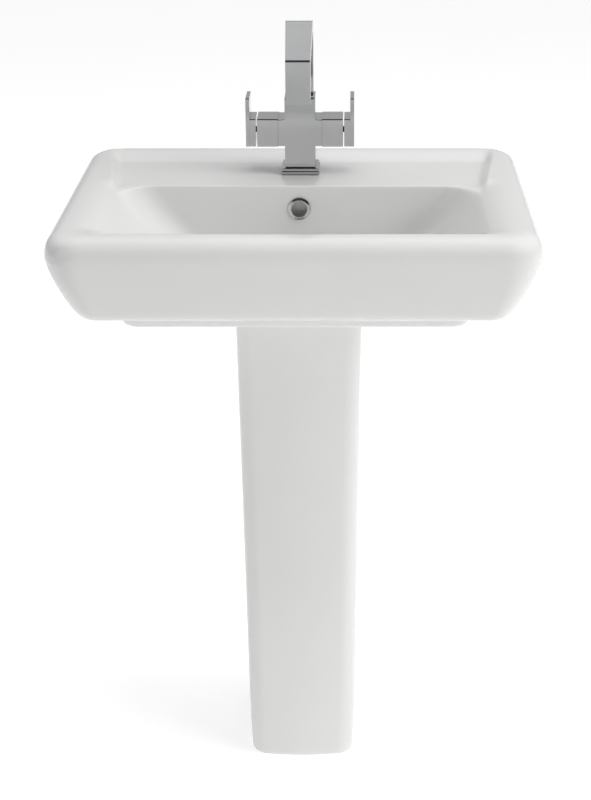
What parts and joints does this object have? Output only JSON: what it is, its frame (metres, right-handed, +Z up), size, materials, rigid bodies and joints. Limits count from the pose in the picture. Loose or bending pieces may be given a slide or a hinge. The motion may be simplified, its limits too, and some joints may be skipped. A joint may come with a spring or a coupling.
{
  "type": "pedestal sink",
  "caption": "Rectangular ceramic wash basin with a rolled rim and a rear tap ledge, on a tapering pedestal, with a square cross-shaped mixer tap, click waste and bottle trap.",
  "frame": {"origin": "on the floor, under the middle of the whole outline", "axes": "+Z up, -Y to the user, +Y to the wall behind the basin, +X to the user's right"},
  "size_m": [0.606, 0.46, 1.007],
  "materials": {
    "ceramic": "glossy white glaze",
    "chrome": "polished",
    "rubber": "matte",
    "white_plastic": "smooth moulded",
    "grey_plastic": "satin",
    "brass": "machined",
    "steel": "black oxide"
  },
  "bodies": {
    "fixture": {"basin": "ceramic", "pedestal": "ceramic", "pedestal_gasket": "rubber", "overflow_ring": "chrome", "waste_flange": "chrome", "waste_top_seal": "rubber", "waste_bottom_seal": "rubber", "waste_backnut": "brass", "plug_guide": "white_plastic", "trap_inlet_nut": "white_plastic", "trap_inlet_seal": "rubber", "trap_body": "white_plastic", "trap_cup": "white_plastic", "trap_cup_seal": "rubber", "trap_outlet_nut": "white_plastic", "trap_outlet_seal": "rubber", "trap_outlet_pipe": "white_plastic", "tap_base_seal": "rubber", "tap_base_plate": "chrome", "tap_foot_seal": "rubber", "tap_body": "chrome", "tap_shank": "brass", "tap_clamp_seal": "rubber", "tap_clamp_washer": "steel", "tap_backnut": "brass", "hot_valve_housing": "chrome", "cold_valve_housing": "chrome", "hot_cartridge": "brass", "cold_cartridge": "brass", "spout_grub_screw": "steel"},
    "spout_arm": {"spout": "chrome", "spout_o_rings": "rubber", "aerator": "grey_plastic"},
    "hot_lever": {"hot_handle": "chrome", "hot_spindle": "steel", "hot_grub_screw": "steel"},
    "cold_lever": {"cold_handle": "chrome", "cold_spindle": "steel", "cold_grub_screw": "steel"},
    "plug": {"waste_plug": "chrome"}
  },
  "joints": [
    {"name": "spout_swivel", "type": "hinge", "parent": "fixture", "child": "spout_arm", "pos_m": [0, 0.132, 0.89], "axis": [0, 0, 1], "range_deg": [-60, 60]},
    {"name": "hot_turn", "type": "hinge", "parent": "fixture", "child": "hot_lever", "pos_m": [-0.045, 0.132, 0.8557], "axis": [1, 0, 0], "range_deg": [0, 90]},
    {"name": "cold_turn", "type": "hinge", "parent": "fixture", "child": "cold_lever", "pos_m": [0.045, 0.132, 0.8557], "axis": [1, 0, 0], "range_deg": [0, 90]},
    {"name": "plug_click", "type": "slide", "parent": "fixture", "child": "plug", "axis": [0, 0, 1], "range_m": [0, 0.008]}
  ]
}
